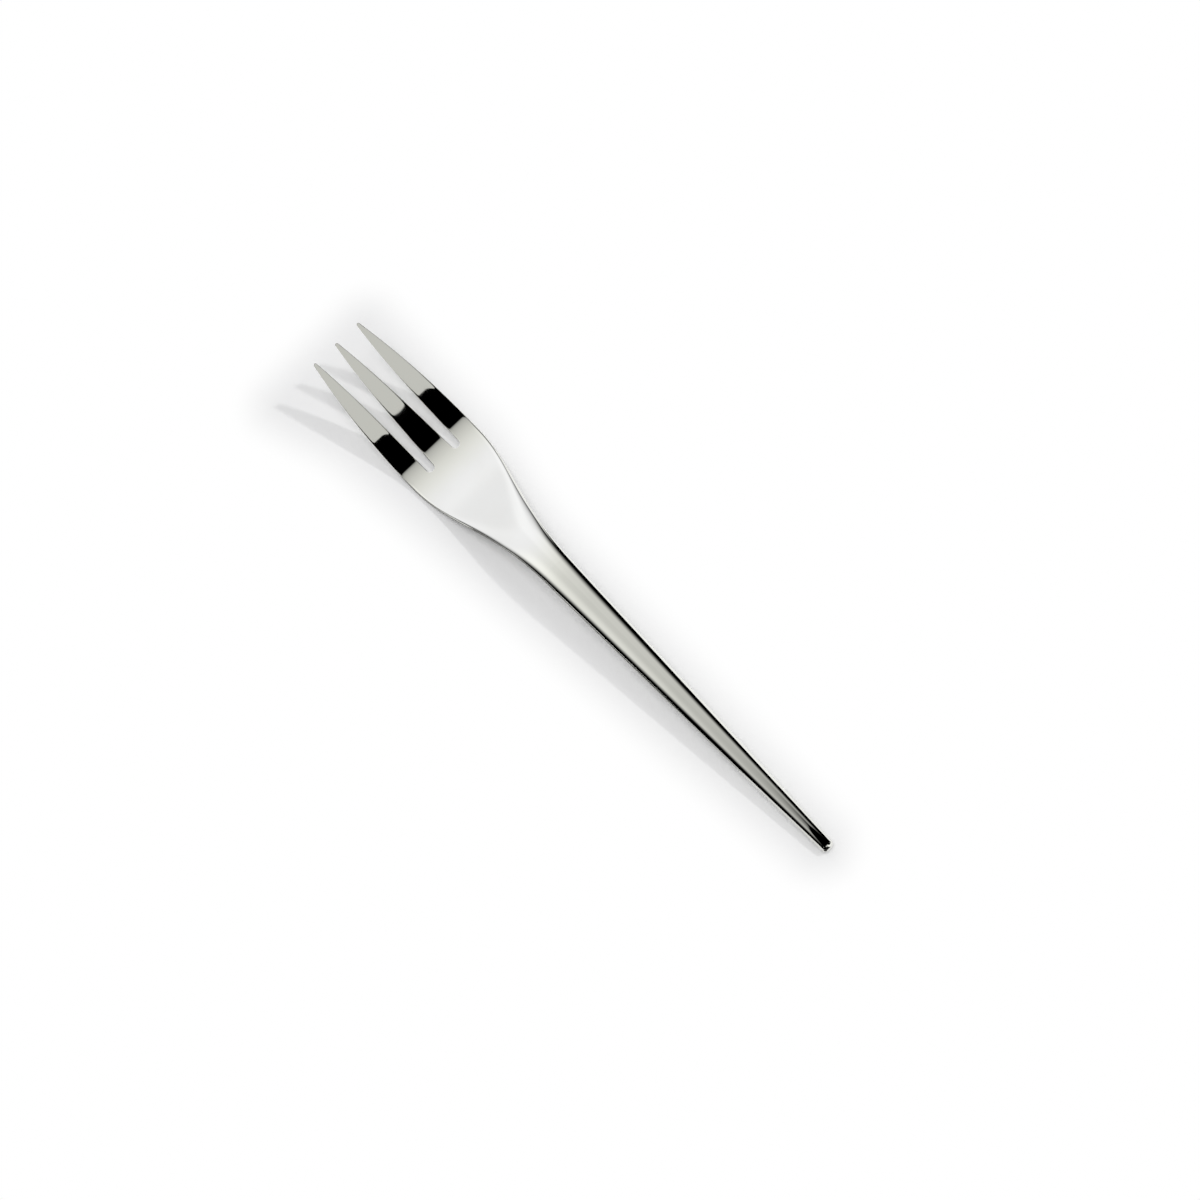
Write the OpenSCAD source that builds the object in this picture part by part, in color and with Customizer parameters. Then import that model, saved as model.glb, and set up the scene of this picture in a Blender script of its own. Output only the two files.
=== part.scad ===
// Fish fork with three broad tines and a slender tapered bar handle.
// The fork lies on its back: the handle end and the belly of the head touch Z = 0.
// +X runs along the fork to the tine tips, +Z is up, and the fork is symmetric about Y = 0.
// A stamped head carries a round tang, which is brazed into a bore in the solid handle.

/* [Overall] */
// Length in plan, from the handle end to the tine tips
fork_length = 183; // [175:1:195]

/* [Handle] */
// Width of the handle at its end
end_width = 3.3; // [2.8:0.1:4.5]
// Width of the handle where the head begins
neck_width = 8.6; // [7.6:0.1:10]
// Thickness of the handle at its end
end_thick = 3.3; // [2.8:0.1:4]
// Thickness of the handle along its middle
bar_thick = 3.8; // [3.4:0.1:4.6]
// How far the top rounds down to the end face
end_drop = 0.2; // [0.1:0.05:0.6]

/* [Head] */
// Width of the head at its widest, beside the slot ends
head_width = 22.6; // [20:0.2:25]
// Thickness of the palm
palm_thick = 1.3; // [1:0.1:1.8]
// Angle that the neck turns down by
neck_turn = 22.2; // [18:0.1:26]
// Angle that the belly turns back up by
belly_turn = 40.2; // [36:0.1:44]
// Angle that the tines turn up by towards their tips
tine_turn = 7; // [3:0.5:10]

/* [Tines] */
// Length of the tines in plan, from the slot ends to the tips
tine_length = 37.4; // [33:0.2:41]
// Width of each slot beside its round end
slot_width = 2.2; // [1.8:0.1:2.7]
// Width of the middle tine at its root
root_width = 6.6; // [5.8:0.1:7.2]
// Width of each tine beside its round tip
tip_width = 0.9; // [0.7:0.1:1.4]
// Distance from the middle tip to each outer tip
tip_spacing = 7.45; // [6.8:0.05:8.2]
// Thickness of the tines at their tips
tip_thick = 1.1; // [0.9:0.1:1.4]

/* [Brazed joint] */
// Distance of the joint from the handle end
joint_at = 100; // [95:0.5:101]
// Diameter of the tang
tang_d = 2.2; // [1.8:0.1:2.4]
// Length of the tang
tang_length = 12; // [8:0.5:16]
// Thickness of the brazing film all round the tang and between the shoulders
film = 0.1; // [0.05:0.01:0.15]

/* [Hidden] */
$fn = 48;

// Where the side profile bends, measured along X from the handle end
neck_from = 94;
neck_to = 122;
belly_from = 127.5;
slot_end = fork_length - tine_length;
belly_to = slot_end + 16.4;
sweep_from = slot_end + 14.4;

// Where the bar thins into the palm, and where the plan flares
thin_from = 88;
thin_to = 142;
swell_to = 60;
flare_from = 98;
flare_to = slot_end - 1.1;
flare_shift = 1.25;
taper_power = 0.85;
end_round = 7;
nose_length = 0.35;
nose_soft = 0.2;

// How the outer edge draws in along the tines, and how the tines taper
edge_power = 2.2;
taper_linear = 0.45;
taper_cubic = 1 - taper_linear;
lean_power = 3;

// The bar's section is a lens, and the palm is a plate with its edge rounded over this width
edge_round = 0.85;
oval = 2;
plate = 2.5 * head_width / 2 / edge_round;
bar_keen = 0.7;
plate_keen = 0.5;
plate_from = flare_from + 14;
plate_to = slot_end - 6;

// Facets: angles round a section, flat across each crown, and steps along each loft
ring_step = 15;
crown_flat = 2;
ring_angles = [for (side = [0, 180])
    each concat([side + crown_flat],
                [for (a = [ring_step : ring_step : 180 - ring_step]) side + a],
                [side + 180 - crown_flat])];
ring_points = len(ring_angles);
nose_steps = 8;
handle_steps = 30;
head_steps = 52;
tine_steps = 23;
tip_steps = 4;
slot_steps = 7;
profile_step = 0.5;

tip_round = tip_width / 2;
tang_r = tang_d / 2;
tang_root = 3;
bore_r = tang_r + film;
slot_middle = (root_width + slot_width) / 2;
outer_root = root_width / 2 + slot_width;

function smooth(a, b, x) =
    let (t = max(0, min(1, (x - a) / (b - a))))
    t * t * (3 - 2 * t);

// Slope of the side profile in degrees, for a handle that rises by the given angle
function slope(x, rise) =
    rise
    - neck_turn * smooth(neck_from, neck_to, x)
    + belly_turn * smooth(belly_from, belly_to, x)
    + tine_turn * smooth(sweep_from, fork_length, x);

// Height of the middle surface, as pairs of distance and height
function profile(rise) =
    [for (i = 0, z = end_thick / 2;
          i <= fork_length / profile_step;
          z = z + profile_step * tan(slope((i + 0.5) * profile_step, rise)), i = i + 1)
        [i * profile_step, z]];

// Half of the thickness, square to the surface
function half_thick(x) =
    let (bar = end_thick + (bar_thick - end_thick) * smooth(0, swell_to, x),
         flat = palm_thick + (tip_thick - palm_thick) * smooth(slot_end, fork_length, x))
    (bar + (flat - bar) * smooth(thin_from, thin_to, x)) / 2;

// Gap under the belly while the handle end touches the table
function belly_gap(rise) =
    min([for (p = profile(rise))
        if (p[0] > belly_from) p[1] - half_thick(p[0]) / cos(slope(p[0], rise))]);

// The handle rises by the angle at which the belly touches the table too
function settled(rise) = rise - atan(belly_gap(rise) / slot_end);
rise = settled(settled(settled(4)));
heights = profile(rise);

function height(x) = lookup(x, heights);
function half_height(x) = half_thick(x) / cos(slope(x, rise));

// What the top loses at the handle end: a long rounding, then a short bevel with a soft edge
function bevel(x) =
    let (inset = nose_length - x)
    (inset + sqrt(inset * inset + nose_soft * nose_soft)) / 2;
function end_loss(x) = end_drop * pow(max(0, 1 - x / end_round), 2) + bevel(x);

// Share of a tine's width that is left at a share of its length, and its round tip
function taper(s) = 1 - taper_linear * s - taper_cubic * pow(s, 3);
function tip_curve(x) =
    let (t = max(0, (x - fork_length + tip_round) / tip_round))
    max(0.3, sqrt(max(0, 1 - t * t)));
function along(x) = (x - slot_end) / tine_length;

// Plan edges: the middle tine, then the inner and outer edges of an outer tine
function middle_edge(x) =
    (tip_width + (root_width - tip_width) * taper(along(x))) / 2 * tip_curve(x);
function inner_straight(x) =
    outer_root + (tip_spacing - tip_width / 2 - outer_root) * pow(along(x), lean_power);
function outer_straight(x) =
    head_width / 2 + (tip_spacing + tip_width / 2 - head_width / 2) * pow(along(x), edge_power);
function outer_centre(x) = (inner_straight(x) + outer_straight(x)) / 2;
function outer_half(x) = (outer_straight(x) - inner_straight(x)) / 2 * tip_curve(x);

// Half width of the bar, then of the whole outline
function bar_half(x) =
    (end_width + (neck_width - end_width) * pow(x / flare_from, taper_power)) / 2;
function flare(x) =
    smooth(0, 1, pow(max(0, (x - flare_from) / (flare_to - flare_from)), flare_shift));
function outline_half(x) =
    x > slot_end
        ? outer_centre(x) + outer_half(x)
        : bar_half(x) + (head_width / 2 - bar_half(slot_end)) * flare(x);

// Fullness of a section, and how keen its edge is, from the bar to the palm
function fullness(x) = oval * pow(plate / oval, smooth(plate_from, plate_to, x));
function keen(x) = bar_keen + (plate_keen - bar_keen) * smooth(plate_from, plate_to, x);

function ring(x) =
    let (half = outline_half(x), power = 2 / fullness(x), up = half_height(x))
    [for (a = ring_angles)
        let (side = sign(sin(a)) * pow(abs(sin(a)), power),
             lift = sign(cos(a)) * pow(abs(cos(a)), 2 * keen(x)),
             rim = cos(a) > 0 ? up - end_loss(x) : up)
        [x, half * side, height(x) + rim * lift]];

// A closed skin through the sections at the given places
module loft(places) {
    rings = len(places);
    last = rings * ring_points - 1;
    polyhedron(
        points = [for (x = places) each ring(x)],
        faces = concat(
            [[for (i = [0 : ring_points - 1]) ring_points - 1 - i]],
            [[for (i = [0 : ring_points - 1]) last - ring_points + 1 + i]],
            [for (k = [0 : rings - 2], i = [0 : ring_points - 1])
                let (j = (i + 1) % ring_points,
                     a = k * ring_points + i,
                     b = k * ring_points + j)
                each [[a, b + ring_points, a + ring_points], [a, b, b + ring_points]]]),
        convexity = 6);
}

// A pin along the handle's axis, reaching back from the joint and some way into the head
module pin(r, back) {
    translate([joint_at, 0, height(joint_at)])
        rotate([0, 90 - rise, 0])
            translate([0, 0, -back])
                cylinder(r = r, h = back + tang_root);
}

// The slot on one side: its round end, the edges of two tines, and the space past their tips
module slot(side) {
    round_r = slot_width / 2;
    near = [for (i = [0 : slot_steps])
        let (a = 90 * i / slot_steps)
        [slot_end + round_r * (1 - cos(a)), round_r * sin(a)]];
    far = concat(
        [for (i = [1 : tine_steps])
            slot_end + round_r + (tine_length - round_r - tip_round) * i / tine_steps],
        [for (i = [1 : tip_steps]) fork_length - tip_round * (1 - sin(90 * i / tip_steps))]);
    past = fork_length + 2;
    lower = concat(
        [for (p = near) [p[0], slot_middle - p[1]]],
        [for (x = far) [x, middle_edge(x)]]);
    upper = concat(
        [for (p = near) [p[0], slot_middle + p[1]]],
        [for (x = far) [x, outer_centre(x) - outer_half(x)]]);
    back = [for (i = [len(upper) - 1 : -1 : 1]) upper[i]];
    translate([0, 0, -1])
        linear_extrude(30)
            polygon([for (p = concat(
                lower,
                [[past, middle_edge(fork_length)], [past, upper[len(upper) - 1][1]]],
                back)) [p[0], side * p[1]]]);
}

function handle_places() =
    let (nose_to = 3 * nose_length)
    concat(
        [for (i = [0 : nose_steps]) nose_to * i / nose_steps],
        [for (i = [1 : handle_steps])
            nose_to + (joint_at - nose_to) * pow(i / handle_steps, 1.4)]);
function head_places() =
    let (from = joint_at + film, to = fork_length - tip_round)
    concat(
        [for (i = [0 : head_steps]) from + (to - from) * i / head_steps],
        [for (i = [1 : tip_steps]) fork_length - tip_round * (1 - sin(90 * i / tip_steps))]);

module centred() {
    translate([-fork_length / 2, 0, 0])
        children();
}

// Solid tapered bar, drilled at its wide end for the tang
module handle() {
    color("silver")
        centred()
            difference() {
                loft(handle_places());
                pin(bore_r, tang_length + film);
            }
}

// Silver brazing alloy that fills the gap round the tang and between the shoulders
module braze_film() {
    color("gainsboro")
        centred()
            difference() {
                union() {
                    loft([joint_at, joint_at + film]);
                    intersection() {
                        pin(bore_r, tang_length + film);
                        translate([joint_at + film / 2 - 2 * tang_length, -neck_width / 2, 0])
                            cube([2 * tang_length, neck_width, 4 * bar_thick]);
                    }
                }
                pin(tang_r, tang_length);
            }
}

// Stamped head: neck, palm and three tines, with the tang on its back end
module fork_head() {
    color("lightgray")
        centred() {
            difference() {
                loft(head_places());
                for (side = [-1, 1])
                    slot(side);
            }
            pin(tang_r, tang_length);
        }
}

handle();
braze_film();
fork_head();
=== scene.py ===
import math

import bpy
from mathutils import Matrix, Vector


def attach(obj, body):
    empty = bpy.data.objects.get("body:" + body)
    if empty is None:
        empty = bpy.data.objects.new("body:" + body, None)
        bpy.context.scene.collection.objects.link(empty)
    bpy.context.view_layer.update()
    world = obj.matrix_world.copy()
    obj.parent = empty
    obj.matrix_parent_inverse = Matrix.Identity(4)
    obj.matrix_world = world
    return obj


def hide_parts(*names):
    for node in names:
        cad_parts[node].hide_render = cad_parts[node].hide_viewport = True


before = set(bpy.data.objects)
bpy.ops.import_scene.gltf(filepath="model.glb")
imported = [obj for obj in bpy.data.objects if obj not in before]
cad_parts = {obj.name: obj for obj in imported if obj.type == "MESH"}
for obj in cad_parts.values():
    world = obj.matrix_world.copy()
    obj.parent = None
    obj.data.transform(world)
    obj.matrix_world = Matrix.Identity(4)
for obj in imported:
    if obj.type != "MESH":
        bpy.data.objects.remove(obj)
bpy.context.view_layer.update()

# Handle: a solid tapered bar of stainless steel, forged oval and polished like a mirror.
# It swells from its rounded end towards the neck, where it is drilled for the head's tang.
# Sizes are in millimetres from the handle end, as in the part's source.
METRES = 0.001
fork_length = 183.0
end_width = 3.3
neck_width = 8.6
end_thick = 3.3
bar_thick = 3.8
end_drop = 0.2
end_round = 7.0
end_edge = 0.9
nose_length = 0.35
nose_soft = 0.2
head_width = 22.6
palm_thick = 1.3
tip_thick = 1.1
neck_turn = 22.2
belly_turn = 40.2
tine_turn = 7.0
first_rise = 4.0
slot_end = 145.6
neck_from = 94.0
neck_to = 122.0
belly_from = 127.5
belly_to = slot_end + 16.4
sweep_from = slot_end + 14.4
thin_from = 88.0
thin_to = 142.0
swell_to = 60.0
flare_from = 98.0
flare_to = slot_end - 1.1
flare_shift = 1.25
taper_power = 0.85
edge_round = 0.85
edge_fall = 2.5
oval = 2.0
bar_keen = 0.7
plate_keen = 0.5
plate_from = flare_from + 14
plate_to = slot_end - 6
plate = edge_fall * head_width / 2 / edge_round
joint_at = 100.0
film = 0.1
tang_r = 1.1
tang_length = 12.0
bore_r = tang_r + film
profile_step = 0.1
crisp_angle = 60
handle_columns = 56
handle_stations = 120
station_power = 1.25
end_step = 5


def smooth(start, end, x):
    t = max(0.0, min(1.0, (x - start) / (end - start)))
    return t * t * (3 - 2 * t)


def slope(x, rise):
    """Slope of the side profile, for a handle that rises by the given angle."""
    return math.radians(
        rise
        - neck_turn * smooth(neck_from, neck_to, x)
        + belly_turn * smooth(belly_from, belly_to, x)
        + tine_turn * smooth(sweep_from, fork_length, x)
    )


def half_thick(x):
    """Half of the thickness, square to the surface."""
    bar = end_thick + (bar_thick - end_thick) * smooth(0, swell_to, x)
    flat = palm_thick + (tip_thick - palm_thick) * smooth(slot_end, fork_length, x)
    return (bar + (flat - bar) * smooth(thin_from, thin_to, x)) / 2


def profile(rise):
    """Heights of the middle surface, one for each step along the fork."""
    heights = [end_thick / 2]
    for i in range(round(fork_length / profile_step) + 1):
        heights.append(heights[-1] + profile_step * math.tan(slope((i + 0.5) * profile_step, rise)))
    return heights


def settled(rise):
    """The rise at which the belly and the handle end both touch the table."""
    first = round(belly_from / profile_step)
    last = round(fork_length / profile_step)
    heights = profile(rise)
    gap = min(
        heights[i] - half_thick(i * profile_step) / math.cos(slope(i * profile_step, rise))
        for i in range(first, last + 1)
    )
    return rise - math.degrees(math.atan(gap / slot_end))


handle_rise = settled(settled(settled(first_rise)))
middle_heights = profile(handle_rise)


def height(x):
    place = x / profile_step
    i = min(int(place), len(middle_heights) - 2)
    return middle_heights[i] + (middle_heights[i + 1] - middle_heights[i]) * (place - i)


def corner(x):
    """What the quarter round at the handle's end corners takes off."""
    return end_edge * (1 - math.sqrt(1 - max(0.0, 1 - x / end_edge) ** 2))


def bevel(x):
    """What the short bevel with its soft edge takes off the top of the handle end."""
    inset = nose_length - x
    return (inset + math.hypot(inset, nose_soft)) / 2


def rim_height(x, side):
    """How far the section reaches above or below its middle; the top rounds down at the end."""
    reach = half_thick(x) / math.cos(slope(x, handle_rise))
    if side > 0:
        return reach - end_drop * max(0.0, 1 - x / end_round) ** 2 - bevel(x)
    return reach - corner(x)


def bar_half(x):
    return (end_width + (neck_width - end_width) * (x / flare_from) ** taper_power) / 2


def body_half(x):
    """Half width of the bar and the palm, up to the slots."""
    along = max(0.0, (x - flare_from) / (flare_to - flare_from)) ** flare_shift
    return bar_half(x) + (head_width / 2 - bar_half(slot_end)) * smooth(0, 1, along)


def fullness(x):
    """Power of the section's outline: an oval on the bar, a plate with round edges on the palm."""
    return oval * (plate / oval) ** smooth(plate_from, plate_to, x)


def keen(x):
    """How keen the section's edge is: a lens on the bar, rounded over on the palm."""
    return bar_keen + (plate_keen - bar_keen) * smooth(plate_from, plate_to, x)


def spread(columns):
    """Places across a width of -1 to 1, close together at both edges."""
    return [math.sin(math.pi / 2 * (2 * i / columns - 1)) for i in range(columns + 1)]


def around(columns):
    """Places round a closed section as (share of the half width, side)."""
    across = spread(columns)
    return [(s, 1) for s in across] + [(s, -1) for s in reversed(across[1:-1])]


def section(x):
    """A ring round the bar."""
    half = body_half(x) - corner(x)
    ring = []
    for share, side in around(handle_columns):
        lift = max(0.0, 1 - abs(share) ** fullness(x)) ** keen(x)
        ring.append((x, half * share, height(x) + side * rim_height(x, side) * lift))
    return ring


def tang_axis(x):
    """Height of the tang's axis, which rises with the handle."""
    return height(joint_at) + (x - joint_at) * math.tan(math.radians(handle_rise))


def tang_ring(x, radius):
    """A round ring on the axis of the tang."""
    return [
        (x, radius * share, tang_axis(x) + side * radius * math.sqrt(max(0.0, 1 - share**2)))
        for share, side in around(handle_columns)
    ]


def to_frame(point):
    x, y, z = point
    return (METRES * (x - fork_length / 2), METRES * y, METRES * z)


def steel_piece(name, points, faces, material):
    """A smooth mesh with crisp corners at the joint."""
    mesh = bpy.data.meshes.new(name)
    mesh.from_pydata([to_frame(p) for p in points], [], faces)
    mesh.polygons.foreach_set("use_smooth", [True] * len(faces))
    mesh.set_sharp_from_angle(angle=math.radians(crisp_angle))
    mesh.materials.append(material)
    mesh.validate()
    piece = bpy.data.objects.new(name, mesh)
    bpy.context.scene.collection.objects.link(piece)
    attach(piece, "root")
    return piece


def skin(rings):
    """Points and faces of a closed skin through rings, with a middle point at each end."""
    count = len(rings[0])
    points = [p for ring in rings for p in ring]
    faces = []
    for k in range(len(rings) - 1):
        for i in range(count):
            j = (i + 1) % count
            faces.append((k * count + j, k * count + i, (k + 1) * count + i, (k + 1) * count + j))
    for ring, base, turn in ((rings[0], 0, 1), (rings[-1], (len(rings) - 1) * count, -1)):
        points.append(tuple(sum(p[axis] for p in ring) / count for axis in range(3)))
        for i in range(count):
            pair = (base + i, base + (i + 1) % count)
            faces.append((*pair[::turn], len(points) - 1))
    return points, faces


class Shade:
    """A socket of a node tree, so that shader maths reads as Python."""

    def __init__(self, tree, socket=None):
        self.tree = tree
        self.socket = socket

    def node(self, kind, settings=None, sockets=None, output=0):
        made = self.tree.nodes.new(kind)
        for name, value in (settings or {}).items():
            setattr(made, name, value)
        for name, value in (sockets or {}).items():
            if isinstance(value, Shade):
                self.tree.links.new(value.socket, made.inputs[name])
            else:
                made.inputs[name].default_value = value
        return Shade(self.tree, made.outputs[output] if len(made.outputs) else None)

    def beside(self, name):
        """Another output of the same node."""
        return Shade(self.tree, self.socket.node.outputs[name])

    def math(self, operation, *values):
        sockets = dict(enumerate((self, *values)))
        return self.node("ShaderNodeMath", {"operation": operation}, sockets)

    def __add__(self, other):
        return self.math("ADD", other)

    __radd__ = __add__

    def __mul__(self, other):
        return self.math("MULTIPLY", other)

    __rmul__ = __mul__

    def __sub__(self, other):
        return self.math("SUBTRACT", other)

    def __rsub__(self, other):
        return self * -1 + other

    def __truediv__(self, other):
        return self.math("DIVIDE", other)

    def over(self, start, end):
        """0 below start, 1 above end and smooth between."""
        settings = {"interpolation_type": "SMOOTHSTEP"}
        sockets = {"Value": self, "From Min": start, "From Max": end}
        return self.node("ShaderNodeMapRange", settings, sockets)


def empty_material(name):
    material = bpy.data.materials.new(name)
    material.use_nodes = True
    material.node_tree.nodes.clear()
    return material, Shade(material.node_tree)


smear_scale = 70.0
smear_span = (0.45, 0.75)
smear_tint = 0.5
smear_rough = 0.012
wipe_scale = 5200.0
wipe_stretch = (0.04, 1.0, 1.0)
wipe_rough = 0.006
wipe_depth = 0.000000005
wave_scale = 85.0
wave_depth = 0.000001


def polished(name, colour, dull_colour, rough):
    """Mirror-polished metal with faint waves from the wheel, fine wipe marks and thin films of grease."""
    material, shade = empty_material(name)
    place = shade.node("ShaderNodeTexCoord", output="Object")
    smears = shade.node(
        "ShaderNodeTexNoise",
        {"noise_dimensions": "3D"},
        {"Vector": place, "Scale": smear_scale, "Detail": 4.0, "Roughness": 0.6},
    ).over(*smear_span)
    along = shade.node(
        "ShaderNodeVectorMath", {"operation": "MULTIPLY"}, {0: place, 1: wipe_stretch}
    )
    wipes = shade.node(
        "ShaderNodeTexNoise",
        {"noise_dimensions": "3D"},
        {"Vector": along, "Scale": wipe_scale, "Detail": 2.0},
    )
    waves = shade.node(
        "ShaderNodeTexNoise",
        {"noise_dimensions": "3D"},
        {"Vector": place, "Scale": wave_scale, "Detail": 0.0},
    )
    tint = shade.node(
        "ShaderNodeMix",
        {"data_type": "RGBA"},
        {"Factor": smears * smear_tint, 6: (*colour, 1.0), 7: (*dull_colour, 1.0)},
        output=2,
    )
    bump = shade.node(
        "ShaderNodeBump",
        {},
        {"Strength": 1.0, "Distance": 1.0, "Height": waves * wave_depth + wipes * wipe_depth},
    )
    metal = shade.node(
        "ShaderNodeBsdfPrincipled",
        {},
        {
            "Base Color": tint,
            "Metallic": 1.0,
            "Roughness": rough + smears * smear_rough + wipes * wipe_rough,
            "Normal": bump,
        },
    )
    shade.node("ShaderNodeOutputMaterial", {}, {"Surface": metal})
    return material


steel_colour = (0.865, 0.868, 0.825)
steel_dull = (0.83, 0.83, 0.78)
steel_rough = 0.014
polished_steel = polished("polished_steel", steel_colour, steel_dull, steel_rough)

end_rings = [
    section(end_edge * (1 - math.cos(math.radians(a)))) for a in range(0, 90 + end_step, end_step)
]
bar_rings = [
    section(end_edge + (joint_at - end_edge) * (i / handle_stations) ** station_power)
    for i in range(1, handle_stations + 1)
]
bore_rings = [tang_ring(joint_at, bore_r), tang_ring(joint_at - tang_length - film, bore_r)]
handle = steel_piece("handle_bar", *skin(end_rings + bar_rings + bore_rings), polished_steel)
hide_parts("handle")

# Fork head: neck, palm and three tines, stamped from stainless sheet, drawn into a curve and polished.
# The slots end in half circles, all the edges are rounded over, and a round tang stands on the back end.
slot_width = 2.2
root_width = 6.6
tip_width = 0.9
tip_spacing = 7.45
edge_power = 2.2
taper_linear = 0.45
taper_cubic = 1 - taper_linear
lean_power = 3.0
tine_edge = 0.25
slot_edge = 0.07
soft_to = slot_end + 7
tip_keen_from = slot_end + 15
tip_keen = 0.5
rim_grind = 2.5
rim_to = slot_end + 8
tip_round = tip_width / 2
slot_r = slot_width / 2
slot_round = slot_end + slot_r
slot_middle = (root_width + slot_width) / 2
outer_root = root_width / 2 + slot_width
tine_lifts = {-1: 0.024, 0: 0.0, 1: 0.06}
tine_crowns = {-1: 0.0, 0: 0.014, 1: 0.0}
tine_rolls = {-1: 0.1, 0: 0.0, 1: 0.1}
set_from = slot_end + 6
set_to = slot_end + 22
middle_columns = 28
outer_columns = 26
palm_step = 0.6
root_span = 2.0
root_ratio = 0.72
root_rings = 13
slot_step = 6
tip_step = 10
weld_grid = 0.000001


def tine_along(x):
    return max(0.0, (x - slot_round) / (fork_length - slot_round))


def tip_curve(x):
    """Share of a tine's width that its round tip leaves."""
    t = max(0.0, (x - fork_length + tip_round) / tip_round)
    return math.sqrt(max(0.0, 1 - t * t))


def slot_opening(x):
    """What the round end of a slot takes off its half width."""
    back = max(0.0, slot_round - x)
    return slot_r - math.sqrt(max(0.0, slot_r**2 - back**2))


def tine_edges(x, strip):
    """Low and high edge of a tine, for strip -1, 0 or 1 across the head."""
    s = tine_along(x)
    if strip == 0:
        taper = 1 - taper_linear * s - taper_cubic * s**3
        half = (tip_width + (root_width - tip_width) * taper) / 2 * tip_curve(x) + slot_opening(x)
        return -half, half
    inner = outer_root + (tip_spacing - tip_width / 2 - outer_root) * s**lean_power
    outer = head_width / 2 + (tip_spacing + tip_width / 2 - head_width / 2) * s**edge_power
    middle = (inner + outer) / 2
    reach = (outer - inner) / 2 * tip_curve(x)
    inner = middle - reach - slot_opening(x)
    outer = middle + reach
    return (inner, outer) if strip > 0 else (-outer, -inner)


def strip_edges(x, strip):
    """Edges of a strip: a third of the palm, or a tine past the slot ends."""
    if x >= slot_end:
        return tine_edges(x, strip)
    half = body_half(x)
    split = slot_middle * half / body_half(slot_end)
    return ((-half, -split), (-split, split), (split, half))[strip + 1]


def round_over(gap, x):
    """Share of the full thickness at a gap from a rounded edge, which is keen at the slot ends and tips."""
    soft = smooth(slot_end, soft_to, x) - tip_keen * smooth(tip_keen_from, fork_length, x)
    reach = slot_edge + (tine_edge - slot_edge) * soft
    return 1 - math.exp(-edge_fall * max(0.0, gap) / reach)


def rim_fullness(x):
    """Power of the outer edge of an outer tine, which is ground keener past its root."""
    return plate * (1 + rim_grind * smooth(slot_end, rim_to, x))


def tine_set(x, strip, share):
    """How far a tine stands off its place past its root, from setting the tines by hand."""
    run = smooth(set_from, set_to, x) - smooth(set_to, fork_length, x)
    crown = tine_crowns[strip] * (1 - share**2)
    roll = tine_rolls[strip] * max(0.0, -share) ** 3
    return run * (tine_lifts[strip] + crown + roll)


def head_point(x, strip, share, side):
    """A point on the top (side 1) or the underside (side -1) of a strip, at a share of its half width."""
    low, high = strip_edges(x, strip)
    y = (low + high) / 2 + (high - low) / 2 * share
    on_edge = x >= slot_end and abs(share) == 1
    on_outline = strip != 0 and share == strip
    middle = height(x) + tine_set(x, strip, share)
    if on_edge or on_outline:
        return (x, y, middle)
    if x < slot_end:
        full = 1 - (abs(y) / body_half(x)) ** fullness(x)
    elif strip == 0:
        full = 1.0
    else:
        full = 1 - (abs(y) / max(abs(low), abs(high))) ** rim_fullness(x)
    if x < slot_round:
        gap = math.hypot(x - slot_round, abs(y) - slot_middle) - slot_r
    elif strip == 0:
        gap = high - abs(y)
    else:
        gap = abs(y) - min(abs(low), abs(high))
    full *= round_over(gap, x)
    if strip == 0 and x >= slot_round:
        full *= round_over(high + abs(y), x)
    return (x, y, middle + side * rim_height(x, side) * max(0.0, full) ** keen(x))


head_from = joint_at + film
root_from = slot_end - root_span
tip_from = fork_length - tip_round
palm_count = round((root_from - head_from) / palm_step)
tine_count = round((tip_from - slot_round) / palm_step)
stations = [head_from + (root_from - head_from) * i / palm_count for i in range(palm_count + 1)]
stations += [slot_end - root_span * root_ratio**i for i in range(1, root_rings + 1)]
stations += [slot_end + slot_r * (1 - math.cos(math.radians(a))) for a in range(0, 90, slot_step)]
stations += [slot_round + (tip_from - slot_round) * i / tine_count for i in range(tine_count)]
stations += [tip_from + tip_round * math.sin(math.radians(a)) for a in range(0, 91, tip_step)]

points = []
numbers = {}


def welded(point):
    """The number of a point, the same for points that meet."""
    key = tuple(round(c / weld_grid) for c in point)
    if key not in numbers:
        numbers[key] = len(points)
        points.append(point)
    return numbers[key]


faces = []


def add_face(*corners):
    """Adds a face, unless welding has left it with fewer than three corners."""
    corners = list(dict.fromkeys(corners))
    if len(corners) > 2:
        faces.append(corners)


across_head = {-1: spread(outer_columns), 0: spread(middle_columns), 1: spread(outer_columns)}
for strip, shares in across_head.items():
    for side in (1, -1):
        grid = [[welded(head_point(x, strip, s, side)) for s in shares] for x in stations]
        for row, after in zip(grid, grid[1:]):
            for i in range(len(shares) - 1):
                corners = (row[i], after[i], after[i + 1], row[i + 1])
                add_face(*corners[::side])

back_shares = [(strip, s) for strip, shares in across_head.items() for s in shares]
back_top = list(dict.fromkeys(welded(head_point(head_from, t, s, 1)) for t, s in back_shares))
back_low = list(dict.fromkeys(welded(head_point(head_from, t, s, -1)) for t, s in back_shares))
back_ring = back_top + back_low[-2:0:-1]
back_half = body_half(head_from)


def tang_points(x):
    """A ring round the tang with one point for each point of the head's back end."""
    ring = []
    for k, number in enumerate(back_ring):
        y = tang_r * points[number][1] / back_half
        z = math.sqrt(max(0.0, tang_r**2 - y**2))
        ring.append(welded((x, y, tang_axis(x) + (z if k < len(back_top) else -z))))
    return ring


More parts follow.
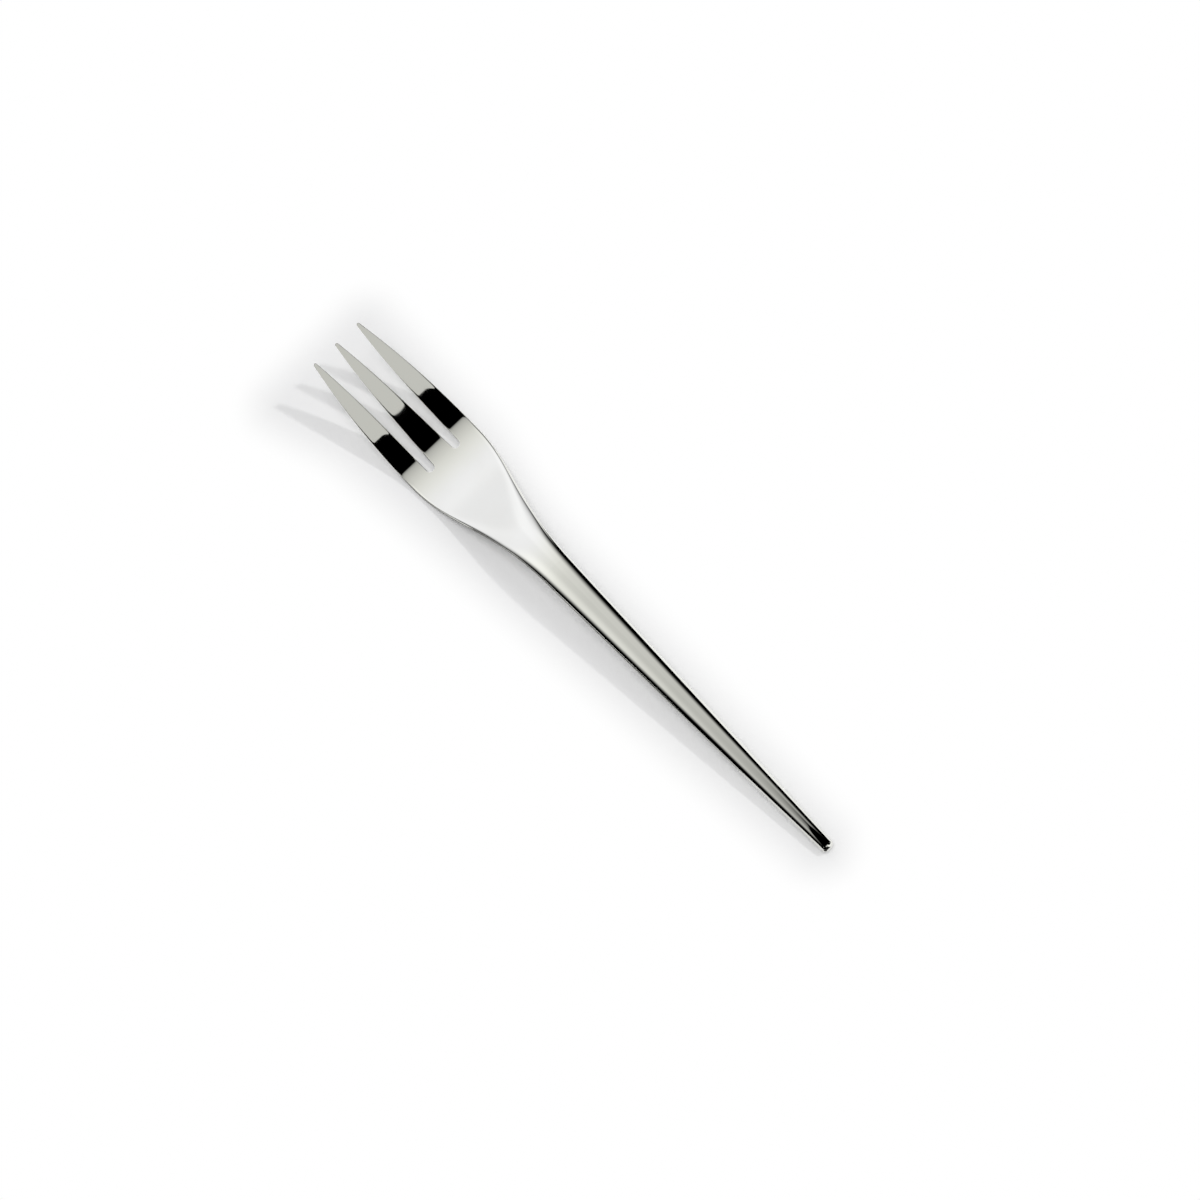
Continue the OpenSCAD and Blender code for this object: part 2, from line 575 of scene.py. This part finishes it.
tang_from = joint_at - tang_length
tang_rings = [back_ring, tang_points(head_from), tang_points(tang_from)]
for ring, after in zip(tang_rings, tang_rings[1:]):
    for i in range(len(ring)):
        j = (i + 1) % len(ring)
        add_face(ring[i], ring[j], after[j], after[i])
tang_middle = welded((tang_from, 0.0, tang_axis(tang_from)))
tang_end = tang_rings[-1]
for i in range(len(tang_end)):
    add_face(tang_end[i], tang_end[(i + 1) % len(tang_end)], tang_middle)
head = steel_piece("fork_head_plate", points, faces, polished_steel)
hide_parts("fork_head")

# Brazed joint: silver brazing alloy that ran in round the tang and between the two shoulders.
# It is dressed flush and polished with the steel, so that only a hairline shows at the neck.
braze_colour = (0.87, 0.868, 0.835)
braze_dull = (0.82, 0.81, 0.77)
braze_rough = 0.06
silver_braze = polished("silver_braze", braze_colour, braze_dull, braze_rough)
film_rings = [
    tang_ring(tang_from - film, bore_r),
    tang_ring(joint_at, bore_r),
    section(joint_at),
    section(head_from),
    tang_ring(head_from, tang_r),
    tang_ring(tang_from, tang_r),
]
braze = steel_piece("braze_line", *skin(film_rings), silver_braze)
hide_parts("braze_film")

# Table: a white paper sweep that the fork lies on. It takes the fork's shadow; away from the fork and its
# shadow it glows plain white for the camera and in the steel, a painted light that fades in over about
# 15 mm. From here on, sizes are in metres from the middle of the fork.
paper_half = 3.0
paper_white = (0.94, 0.94, 0.945)
fade_inset = 0.0035
fade_ahead = 0.0995
fade_behind = -0.0915
fade_width = 0.0151
palm_reach = (0.02, 0.055)
tips_reach = (0.07, 0.1)
fade_step = 0.0025
fade_middle = 0.00325
middle_slope = 0.0235
fade_half = 0.00725
half_slope = 0.0515


def box(first, second):
    """Corners of a rectangle from its reach along two axes."""
    return [(first[a], second[b]) for a, b in ((0, 0), (1, 0), (1, 1), (0, 1))]


def stage_sheet(name, corners, material):
    """A flat sheet that the fork is shown with."""
    mesh = bpy.data.meshes.new(name)
    mesh.from_pydata(corners, [], [(0, 1, 2, 3)])
    mesh.materials.append(material)
    sheet = bpy.data.objects.new(name, mesh)
    bpy.context.scene.collection.objects.link(sheet)
    return sheet


def place_across(shade):
    """X and Y of the place that is shaded."""
    place = shade.node("ShaderNodeNewGeometry", output="Position")
    x_place = shade.node("ShaderNodeSeparateXYZ", {}, {0: place})
    return x_place, x_place.beside("Y")


def in_view(shade):
    """1 for what the camera sees, straight or in polished metal."""
    rays = shade.node("ShaderNodeLightPath", output="Is Camera Ray")
    mirrored = rays.math("MAXIMUM", rays.beside("Is Glossy Ray"))
    return mirrored.math("MAXIMUM", rays.beside("Is Transmission Ray"))


paper_material, shade = empty_material("paper")
x_place, y_place = place_across(shade)
broad = x_place.over(*palm_reach) * fade_step
spread_tips = x_place.over(*tips_reach) * fade_step
middle = x_place * middle_slope + fade_middle - broad + spread_tips
half = x_place * half_slope + fade_half + broad + spread_tips
aside = (y_place - middle).math("ABSOLUTE") - half + fade_inset
past_ends = (x_place - fade_ahead).math("MAXIMUM", fade_behind - x_place) + fade_inset
aside = aside.math("MAXIMUM", 0.0)
past_ends = past_ends.math("MAXIMUM", 0.0)
away = (past_ends * past_ends + aside * aside).math("SQRT")
sheet = shade.node("ShaderNodeBsdfDiffuse", {}, {"Color": (*paper_white, 1.0)})
glow = shade.node("ShaderNodeEmission", {}, {"Color": (1.0, 1.0, 1.0, 1.0), "Strength": 1.0})
# Painted light: the white glow fades in with distance from the fork and its shadow, for the camera and in
# the steel.
fade = away.over(0.0, fade_width) * in_view(shade)
mixed = shade.node("ShaderNodeMixShader", {}, {0: fade, 1: sheet, 2: glow})
shade.node("ShaderNodeOutputMaterial", {}, {"Surface": mixed})
paper_reach = (-paper_half, paper_half)
stage_sheet("paper", [(x, y, 0.0) for x, y in box(paper_reach, paper_reach)], paper_material)

# Overhead diffuser: a wide white scrim above the table, open in a slit on the camera's side, with a
# black card down each side. It glows but lights nothing and only polished steel shows it, so it is a
# painted reflection, shaped to lay the highlights, glints and dark bands on the fork; the camera looks
# through it.
# Spans called lean are angles off the vertical to the left or right, in degrees.
scrim_height = 0.90
scrim_half = 30.0
scrim_from = 0.0571
peak_level = 1.2
near_blue = 0.97
far_blue = 1.045
blue_reach = (0.2, 0.9)
tilt_reach = 0.5
tilt_slope = 0.045
edge_share = 0.42
edge_length = 0.013
slow_length = 0.28
dim_reach = (1.1, 1.7)
dim_loss = 0.08
left_glow_lean = (5, 35)
left_glow_near = (0.08, 0.2)
left_glow_far = (0.3, 0.9)
left_glow_gain = 0.25
right_glow_lean = (4, 16)
right_glow_gain = 0.07
course_offset = 0.1
sky_course = (0.42, 0.62)
card_course = (1.4, 2.2)
left_card_lean = (41, 68)
left_sky_lean = (70, 76)
right_card_lean = (35, 64)
right_card_spread = (16, 40)
right_card_reach = (0.5, 1.2)
right_sky_lean = (66, 72)
slit_to = -0.26
slit_soft = 0.001
slit_half = 1.3
slit_fade = 0.5
front_fade = 0.02
back_level = 0.605
tine_sky_from = (-0.95, -0.75)
tine_sky_to = (-0.1, 0.0)
low_card_lean = (24, 42)
low_sky_lean = (68, 74)
end_course = (-1.3, -0.95)
end_dark_lean = (15, 45)
end_glow_lean = (5, 40)
end_glow_gain = 0.8


def only_in_steel(sheet):
    """Hides a sheet from everything but reflections."""
    sheet.visible_camera = False
    sheet.visible_diffuse = False
    sheet.visible_transmission = False
    sheet.visible_shadow = False


scrim_material, shade = empty_material("scrim")
x_place, y_place = place_across(shade)
tangent = y_place / scrim_height
lean = tangent.math("ARCTANGENT") * math.degrees(1)
right_lean = lean * -1
sideways = y_place.math("ABSOLUTE")
ahead = x_place / (tangent * tangent + 1).math("SQRT")
course = x_place / (sideways + course_offset)

tilt = y_place.math("MAXIMUM", -tilt_reach).math("MINIMUM", 0.0) * tilt_slope
inward = (ahead + tilt - scrim_from).math("MAXIMUM", 0.0)
edge_rise = 1 - (inward / -edge_length).math("EXPONENT")
slow_rise = 1 - (inward / -slow_length).math("EXPONENT")
front = edge_rise * edge_share + slow_rise * (1 - edge_share) - ahead.over(*dim_reach) * dim_loss
# Painted highlights: the glow is raised where it leans to the left or the right near the front.
left_glow = lean.over(*left_glow_lean) * ahead.over(*left_glow_near)
left_glow = left_glow * (1 - ahead.over(*left_glow_far)) * left_glow_gain
front = front * (left_glow + right_lean.over(*right_glow_lean) * right_glow_gain + 1)

# Painted dark bands: black cards down each side, cut away where the sky opens.
open_sky = course.over(*sky_course)
card_reach = 1 - course.over(*card_course)
left_card = lean.over(*left_card_lean) * card_reach * (1 - lean.over(*left_sky_lean) * open_sky)
far = ahead.over(*right_card_reach)
right_card = right_lean.over(
    right_card_lean[0] - far * right_card_spread[0], far * right_card_spread[1] + right_card_lean[1]
)
right_card = right_card * (1 - right_lean.over(*right_sky_lean) * open_sky)
front = front * (1 - left_card - right_card * card_reach)

behind = 1 - (x_place - slit_to).over(-slit_soft, 0.0)
beyond = sideways.over(slit_half, slit_half + slit_fade)
beyond = beyond * (1 - x_place.over(scrim_from - front_fade, scrim_from))
# Painted reflection for the tines and the handle end: a low dark card on the right, opened for the tines,
# and a dark left and a bright right side far behind for the end.
tine_sky = course.over(*tine_sky_from) * (1 - course.over(*tine_sky_to))
low_card = right_lean.over(*low_card_lean) * (1 - right_lean.over(*low_sky_lean) * (1 - tine_sky))
endways = 1 - course.over(*end_course)
end_fade = lean.over(*end_dark_lean) - right_lean.over(*end_glow_lean) * end_glow_gain
dark = low_card * (1 - endways) + end_fade * endways
back = behind.math("MAXIMUM", beyond) * back_level * (1 - dark)

# Painted tint in the reflections: the glow is warmer near the front and bluer further off.
cloth = shade.node(
    "ShaderNodeMix",
    {"data_type": "RGBA"},
    {
        "Factor": ahead.over(*blue_reach),
        6: (peak_level, peak_level, peak_level * near_blue, 1.0),
        7: (peak_level, peak_level, peak_level * far_blue, 1.0),
    },
    output=2,
)
level = shade.node(
    "ShaderNodeMix",
    {"data_type": "RGBA"},
    {"Factor": (front + back) / peak_level, 6: (0.0, 0.0, 0.0, 1.0), 7: cloth},
    output=2,
)
light = shade.node("ShaderNodeEmission", {}, {"Color": level, "Strength": 1.0})
shade.node("ShaderNodeOutputMaterial", {}, {"Surface": light})
scrim_reach = (-scrim_half, scrim_half)
scrim_corners = [(x, y, scrim_height) for x, y in box(scrim_reach, scrim_reach)]
only_in_steel(stage_sheet("scrim", scrim_corners[::-1], scrim_material))

# Cards: low strips of black card that stand beside the fork and past the handle end, a grey one at the
# neck, and grey sheets that lie along the left side and at the end. They are seen only in the steel and
# cast no shadow, so they are painted reflections: the cards lay dark lines along the fork's rims and
# end, and the grey sheets stand in there for the paper in the fork's shadow, a painted shade.
flag_aside = 0.030
flag_reach = (-0.1, 0.045)
flag_tall = 0.007
end_flag_reach = (-0.135, -0.0905)
end_flag_tall = 0.05
neck_flag_reach = (0.012, 0.075)
neck_flag_tall = 0.014
neck_flag_grey = 0.42
strip_aside = -0.0078
strip_corners = ((-0.0915, 0.00115), (-0.07, 0.0042), (-0.07, 0.006), (-0.0915, 0.0035))
end_card_at = -0.1015
end_card_reach = (-0.002, 0.02)
end_card_tall = 0.009
sheet_lift = 0.0003
left_reach = (0.0025, flag_aside)
# Painted shade: grey sheets, seen only in the steel, that stand in for the paper in the fork's shadow,
# darker towards the palm.
painted_shade_sheets = {
    "left_sheet": ((-0.0915, -0.06), 0.85),
    "bar_sheet": ((-0.06, 0.018), 0.55),
    "palm_sheet": ((0.018, 0.06), 0.32),
}
# Painted shade: a near black sheet just in front of the handle end, which darkens the end face in the
# steel.
end_sheet_from = -0.0921
end_sheet_reach = (-0.0005, 0.02)
end_shade_grey = 0.04


def card_piece(name, corners, grey=0.0):
    """A flat card, black unless it has a grey."""
    material, shade = empty_material(name)
    card = shade.node("ShaderNodeBsdfDiffuse", {}, {"Color": (grey, grey, grey, 1.0)})
    shade.node("ShaderNodeOutputMaterial", {}, {"Surface": card})
    only_in_steel(stage_sheet(name, corners, material))


def upright(corners, y):
    """A card that stands along the fork, from its corners in X and Z."""
    return [(x, y, z) for x, z in corners]


def lying(corners):
    """A sheet just above the paper, from its corners in X and Y."""
    return [(x, y, sheet_lift) for x, y in corners]


# Painted reflections: black cards and a grey one, seen only in the steel, that lay dark lines along the
# rims and at the end.
card_piece("left_flag", upright(box(flag_reach, (0.0, flag_tall)), flag_aside))
card_piece("end_flag", upright(box(end_flag_reach, (0.0, end_flag_tall)), flag_aside))
neck_corners = box(neck_flag_reach, (flag_tall, neck_flag_tall))
card_piece("neck_flag", upright(neck_corners, flag_aside), neck_flag_grey)
card_piece("right_strip", upright(strip_corners, strip_aside))
end_corners = box(end_card_reach, (0.0, end_card_tall))
card_piece("end_card", [(end_card_at, y, z) for y, z in end_corners])
for name, (reach, grey) in painted_shade_sheets.items():
    card_piece(name, lying(box(reach, left_reach)), grey)
end_sheet_corners = box((end_card_at, end_sheet_from), end_sheet_reach)
card_piece("end_sheet", lying(end_sheet_corners), end_shade_grey)

# Room light and lamps: even white light from all round, a broad soft lamp overhead, and a small lamp
# on the right that casts the shadow.
room_level = 0.47
key_energy = 0.57
key_spread = 3
key_from = (-0.42, -0.88, 1.0)
soft_energy = 0.9
soft_spread = 30
soft_from = (0.0, 0.0, 1.0)
room = bpy.data.worlds.new("room")
room.use_nodes = True
room.node_tree.nodes.clear()
shade = Shade(room.node_tree)
strength = in_view(shade) * (1 - room_level) + room_level
even_light = shade.node(
    "ShaderNodeBackground", {}, {"Color": (1.0, 1.0, 1.0, 1.0), "Strength": strength}
)
shade.node("ShaderNodeOutputWorld", {}, {"Surface": even_light})
bpy.context.scene.world = room


def far_lamp(name, energy, spread_angle, source):
    """A lamp far away in the direction of its source, which the steel doesn't mirror."""
    data = bpy.data.lights.new(name, "SUN")
    data.energy = energy
    data.angle = math.radians(spread_angle)
    lamp = bpy.data.objects.new(name, data)
    lamp.rotation_euler = Vector(source).to_track_quat("Z", "Y").to_euler()
    lamp.visible_glossy = False
    bpy.context.scene.collection.objects.link(lamp)


far_lamp("key", key_energy, key_spread, key_from)
far_lamp("soft", soft_energy, soft_spread, soft_from)

# Camera: a long lens high above the handle end, turned so that the tines point up and left.
view_rise = math.radians(68.148)
view_aside = math.radians(-6.576)
view_roll = math.radians(-37.529)
view_distance = 1.4
view_width = 0.299293
sensor = 36.0
aim = Vector((-0.002275, -0.002771, 0.0))
outward = Vector((-math.cos(view_aside), -math.sin(view_aside), 0.0))
overhead = Vector((0.0, 0.0, 1.0))
backward = outward * math.cos(view_rise) + overhead * math.sin(view_rise)
level_up = overhead * math.cos(view_rise) - outward * math.sin(view_rise)
level_right = level_up.cross(backward)
right = level_right * math.cos(view_roll) + level_up * math.sin(view_roll)
up = level_up * math.cos(view_roll) - level_right * math.sin(view_roll)
camera_data = bpy.data.cameras.new("camera")
camera_data.sensor_width = sensor
camera_data.lens = sensor * view_distance / view_width
camera = bpy.data.objects.new("camera", camera_data)
turn = Matrix((right, up, backward)).transposed().to_4x4()
camera.matrix_world = Matrix.Translation(aim + backward * view_distance) @ turn
bpy.context.scene.collection.objects.link(camera)
bpy.context.scene.camera = camera
bpy.context.scene.view_settings.view_transform = "Standard"

bpy.context.view_layer.update()
